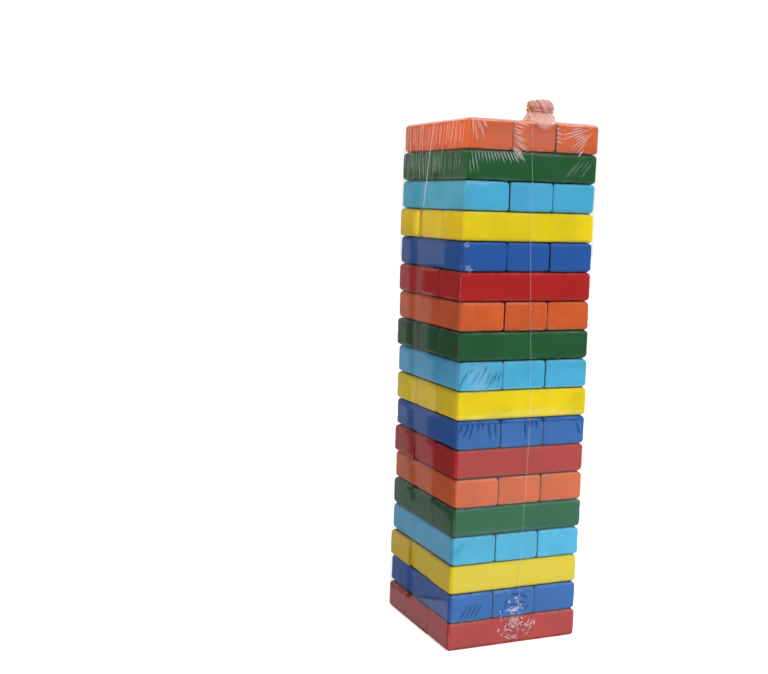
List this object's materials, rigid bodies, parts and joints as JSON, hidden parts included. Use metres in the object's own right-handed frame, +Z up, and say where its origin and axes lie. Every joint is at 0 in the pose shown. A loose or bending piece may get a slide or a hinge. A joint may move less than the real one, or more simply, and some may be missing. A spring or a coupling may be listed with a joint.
{
  "type": "tumbling block tower",
  "caption": "Square tower of painted wooden blocks stacked in crossed layers, in a clear shrink film bag with a gathered top; each block slides out along its length.",
  "frame": {"origin": "centre of the base, on the surface that the tower stands on", "axes": "+Z up the tower; +X along the blocks of the odd layers; the front, with the film's seam, faces -Y"},
  "size_m": [0.0786, 0.0786, 0.2833],
  "materials": {
    "red_paint": "satin paint",
    "blue_paint": "satin paint",
    "yellow_paint": "satin paint",
    "light_blue_paint": "satin paint",
    "green_paint": "satin paint",
    "orange_paint": "satin paint",
    "clear_film": "clear gloss film"
  },
  "bodies": {
    "block_01_front": {"block_01_front": "red_paint"},
    "block_01_middle": {"block_01_middle": "red_paint"},
    "block_01_back": {"block_01_back": "red_paint"},
    "block_02_left": {"block_02_left": "blue_paint"},
    "block_02_middle": {"block_02_middle": "blue_paint"},
    "block_02_right": {"block_02_right": "blue_paint"},
    "block_03_front": {"block_03_front": "yellow_paint"},
    "block_03_middle": {"block_03_middle": "yellow_paint"},
    "block_03_back": {"block_03_back": "yellow_paint"},
    "block_04_left": {"block_04_left": "light_blue_paint"},
    "block_04_middle": {"block_04_middle": "light_blue_paint"},
    "block_04_right": {"block_04_right": "light_blue_paint"},
    "block_05_front": {"block_05_front": "green_paint"},
    "block_05_middle": {"block_05_middle": "green_paint"},
    "block_05_back": {"block_05_back": "green_paint"},
    "block_06_left": {"block_06_left": "orange_paint"},
    "block_06_middle": {"block_06_middle": "orange_paint"},
    "block_06_right": {"block_06_right": "orange_paint"},
    "block_07_front": {"block_07_front": "red_paint"},
    "block_07_middle": {"block_07_middle": "red_paint"},
    "block_07_back": {"block_07_back": "red_paint"},
    "block_08_left": {"block_08_left": "blue_paint"},
    "block_08_middle": {"block_08_middle": "blue_paint"},
    "block_08_right": {"block_08_right": "blue_paint"},
    "block_09_front": {"block_09_front": "yellow_paint"},
    "block_09_middle": {"block_09_middle": "yellow_paint"},
    "block_09_back": {"block_09_back": "yellow_paint"},
    "block_10_left": {"block_10_left": "light_blue_paint"},
    "block_10_middle": {"block_10_middle": "light_blue_paint"},
    "block_10_right": {"block_10_right": "light_blue_paint"},
    "block_11_front": {"block_11_front": "green_paint"},
    "block_11_middle": {"block_11_middle": "green_paint"},
    "block_11_back": {"block_11_back": "green_paint"},
    "block_12_left": {"block_12_left": "orange_paint"},
    "block_12_middle": {"block_12_middle": "orange_paint"},
    "block_12_right": {"block_12_right": "orange_paint"},
    "block_13_front": {"block_13_front": "red_paint"},
    "block_13_middle": {"block_13_middle": "red_paint"},
    "block_13_back": {"block_13_back": "red_paint"},
    "block_14_left": {"block_14_left": "blue_paint"},
    "block_14_middle": {"block_14_middle": "blue_paint"},
    "block_14_right": {"block_14_right": "blue_paint"},
    "block_15_front": {"block_15_front": "yellow_paint"},
    "block_15_middle": {"block_15_middle": "yellow_paint"},
    "block_15_back": {"block_15_back": "yellow_paint"},
    "block_16_left": {"block_16_left": "light_blue_paint"},
    "block_16_middle": {"block_16_middle": "light_blue_paint"},
    "block_16_right": {"block_16_right": "light_blue_paint"},
    "block_17_front": {"block_17_front": "green_paint"},
    "block_17_middle": {"block_17_middle": "green_paint"},
    "block_17_back": {"block_17_back": "green_paint"},
    "block_18_left": {"block_18_left": "orange_paint"},
    "block_18_middle": {"block_18_middle": "orange_paint"},
    "block_18_right": {"block_18_right": "orange_paint"},
    "shrink_film": {"shrink_film": "clear_film"}
  },
  "joints": [
    {"name": "bag_lift_off", "type": "slide", "parent": "block_01_middle", "child": "shrink_film", "axis": [0, 0, 1], "range_m": [0, 0.3], "deforming": ["shrink_film"]},
    {"name": "block_12_left_slide", "type": "slide", "parent": "block_01_middle", "child": "block_12_left", "axis": [0, 1, 0], "range_m": [-0.08, 0.08]},
    {"name": "block_12_middle_slide", "type": "slide", "parent": "block_01_middle", "child": "block_12_middle", "axis": [0, 1, 0], "range_m": [-0.08, 0.08]},
    {"name": "block_12_right_slide", "type": "slide", "parent": "block_01_middle", "child": "block_12_right", "axis": [0, 1, 0], "range_m": [-0.08, 0.08]},
    {"name": "block_13_front_slide", "type": "slide", "parent": "block_01_middle", "child": "block_13_front", "axis": [1, 0, 0], "range_m": [-0.08, 0.08]},
    {"name": "block_13_middle_slide", "type": "slide", "parent": "block_01_middle", "child": "block_13_middle", "axis": [1, 0, 0], "range_m": [-0.08, 0.08]},
    {"name": "block_13_back_slide", "type": "slide", "parent": "block_01_middle", "child": "block_13_back", "axis": [1, 0, 0], "range_m": [-0.08, 0.08]},
    {"name": "block_14_left_slide", "type": "slide", "parent": "block_01_middle", "child": "block_14_left", "axis": [0, 1, 0], "range_m": [-0.08, 0.08]},
    {"name": "block_14_middle_slide", "type": "slide", "parent": "block_01_middle", "child": "block_14_middle", "axis": [0, 1, 0], "range_m": [-0.08, 0.08]},
    {"name": "block_14_right_slide", "type": "slide", "parent": "block_01_middle", "child": "block_14_right", "axis": [0, 1, 0], "range_m": [-0.08, 0.08]},
    {"name": "block_11_front_slide", "type": "slide", "parent": "block_01_middle", "child": "block_11_front", "axis": [1, 0, 0], "range_m": [-0.08, 0.08]},
    {"name": "block_11_middle_slide", "type": "slide", "parent": "block_01_middle", "child": "block_11_middle", "axis": [1, 0, 0], "range_m": [-0.08, 0.08]},
    {"name": "block_11_back_slide", "type": "slide", "parent": "block_01_middle", "child": "block_11_back", "axis": [1, 0, 0], "range_m": [-0.08, 0.08]},
    {"name": "block_10_left_slide", "type": "slide", "parent": "block_01_middle", "child": "block_10_left", "axis": [0, 1, 0], "range_m": [-0.08, 0.08]},
    {"name": "block_10_middle_slide", "type": "slide", "parent": "block_01_middle", "child": "block_10_middle", "axis": [0, 1, 0], "range_m": [-0.08, 0.08]},
    {"name": "block_10_right_slide", "type": "slide", "parent": "block_01_middle", "child": "block_10_right", "axis": [0, 1, 0], "range_m": [-0.08, 0.08]},
    {"name": "block_15_front_slide", "type": "slide", "parent": "block_01_middle", "child": "block_15_front", "axis": [1, 0, 0], "range_m": [-0.08, 0.08]},
    {"name": "block_15_middle_slide", "type": "slide", "parent": "block_01_middle", "child": "block_15_middle", "axis": [1, 0, 0], "range_m": [-0.08, 0.08]},
    {"name": "block_15_back_slide", "type": "slide", "parent": "block_01_middle", "child": "block_15_back", "axis": [1, 0, 0], "range_m": [-0.08, 0.08]},
    {"name": "block_16_left_slide", "type": "slide", "parent": "block_01_middle", "child": "block_16_left", "axis": [0, 1, 0], "range_m": [-0.08, 0.08]},
    {"name": "block_16_middle_slide", "type": "slide", "parent": "block_01_middle", "child": "block_16_middle", "axis": [0, 1, 0], "range_m": [-0.08, 0.08]},
    {"name": "block_16_right_slide", "type": "slide", "parent": "block_01_middle", "child": "block_16_right", "axis": [0, 1, 0], "range_m": [-0.08, 0.08]},
    {"name": "block_09_front_slide", "type": "slide", "parent": "block_01_middle", "child": "block_09_front", "axis": [1, 0, 0], "range_m": [-0.08, 0.08]},
    {"name": "block_09_middle_slide", "type": "slide", "parent": "block_01_middle", "child": "block_09_middle", "axis": [1, 0, 0], "range_m": [-0.08, 0.08]},
    {"name": "block_09_back_slide", "type": "slide", "parent": "block_01_middle", "child": "block_09_back", "axis": [1, 0, 0], "range_m": [-0.08, 0.08]},
    {"name": "block_08_left_slide", "type": "slide", "parent": "block_01_middle", "child": "block_08_left", "axis": [0, 1, 0], "range_m": [-0.08, 0.08]},
    {"name": "block_08_middle_slide", "type": "slide", "parent": "block_01_middle", "child": "block_08_middle", "axis": [0, 1, 0], "range_m": [-0.08, 0.08]},
    {"name": "block_08_right_slide", "type": "slide", "parent": "block_01_middle", "child": "block_08_right", "axis": [0, 1, 0], "range_m": [-0.08, 0.08]},
    {"name": "block_07_front_slide", "type": "slide", "parent": "block_01_middle", "child": "block_07_front", "axis": [1, 0, 0], "range_m": [-0.08, 0.08]},
    {"name": "block_07_middle_slide", "type": "slide", "parent": "block_01_middle", "child": "block_07_middle", "axis": [1, 0, 0], "range_m": [-0.08, 0.08]},
    {"name": "block_07_back_slide", "type": "slide", "parent": "block_01_middle", "child": "block_07_back", "axis": [1, 0, 0], "range_m": [-0.08, 0.08]},
    {"name": "block_06_left_slide", "type": "slide", "parent": "block_01_middle", "child": "block_06_left", "axis": [0, 1, 0], "range_m": [-0.08, 0.08]},
    {"name": "block_06_middle_slide", "type": "slide", "parent": "block_01_middle", "child": "block_06_middle", "axis": [0, 1, 0], "range_m": [-0.08, 0.08]},
    {"name": "block_06_right_slide", "type": "slide", "parent": "block_01_middle", "child": "block_06_right", "axis": [0, 1, 0], "range_m": [-0.08, 0.08]},
    {"name": "block_05_front_slide", "type": "slide", "parent": "block_01_middle", "child": "block_05_front", "axis": [1, 0, 0], "range_m": [-0.08, 0.08]},
    {"name": "block_05_middle_slide", "type": "slide", "parent": "block_01_middle", "child": "block_05_middle", "axis": [1, 0, 0], "range_m": [-0.08, 0.08]},
    {"name": "block_05_back_slide", "type": "slide", "parent": "block_01_middle", "child": "block_05_back", "axis": [1, 0, 0], "range_m": [-0.08, 0.08]},
    {"name": "block_04_left_slide", "type": "slide", "parent": "block_01_middle", "child": "block_04_left", "axis": [0, 1, 0], "range_m": [-0.08, 0.08]},
    {"name": "block_04_middle_slide", "type": "slide", "parent": "block_01_middle", "child": "block_04_middle", "axis": [0, 1, 0], "range_m": [-0.08, 0.08]},
    {"name": "block_04_right_slide", "type": "slide", "parent": "block_01_middle", "child": "block_04_right", "axis": [0, 1, 0], "range_m": [-0.08, 0.08]},
    {"name": "block_03_front_slide", "type": "slide", "parent": "block_01_middle", "child": "block_03_front", "axis": [1, 0, 0], "range_m": [-0.08, 0.08]},
    {"name": "block_03_middle_slide", "type": "slide", "parent": "block_01_middle", "child": "block_03_middle", "axis": [1, 0, 0], "range_m": [-0.08, 0.08]},
    {"name": "block_03_back_slide", "type": "slide", "parent": "block_01_middle", "child": "block_03_back", "axis": [1, 0, 0], "range_m": [-0.08, 0.08]},
    {"name": "block_02_left_slide", "type": "slide", "parent": "block_01_middle", "child": "block_02_left", "axis": [0, 1, 0], "range_m": [-0.08, 0.08]},
    {"name": "block_02_middle_slide", "type": "slide", "parent": "block_01_middle", "child": "block_02_middle", "axis": [0, 1, 0], "range_m": [-0.08, 0.08]},
    {"name": "block_02_right_slide", "type": "slide", "parent": "block_01_middle", "child": "block_02_right", "axis": [0, 1, 0], "range_m": [-0.08, 0.08]},
    {"name": "block_01_front_slide", "type": "slide", "parent": "block_01_middle", "child": "block_01_front", "axis": [1, 0, 0], "range_m": [-0.08, 0.08]},
    {"name": "block_01_back_slide", "type": "slide", "parent": "block_01_middle", "child": "block_01_back", "axis": [1, 0, 0], "range_m": [-0.08, 0.08]},
    {"name": "block_17_front_slide", "type": "slide", "parent": "block_01_middle", "child": "block_17_front", "axis": [1, 0, 0], "range_m": [-0.08, 0.08]},
    {"name": "block_17_middle_slide", "type": "slide", "parent": "block_01_middle", "child": "block_17_middle", "axis": [1, 0, 0], "range_m": [-0.08, 0.08]},
    {"name": "block_17_back_slide", "type": "slide", "parent": "block_01_middle", "child": "block_17_back", "axis": [1, 0, 0], "range_m": [-0.08, 0.08]},
    {"name": "block_18_left_slide", "type": "slide", "parent": "block_01_middle", "child": "block_18_left", "axis": [0, 1, 0], "range_m": [-0.08, 0.08]},
    {"name": "block_18_middle_slide", "type": "slide", "parent": "block_01_middle", "child": "block_18_middle", "axis": [0, 1, 0], "range_m": [-0.08, 0.08]},
    {"name": "block_18_right_slide", "type": "slide", "parent": "block_01_middle", "child": "block_18_right", "axis": [0, 1, 0], "range_m": [-0.08, 0.08]}
  ]
}
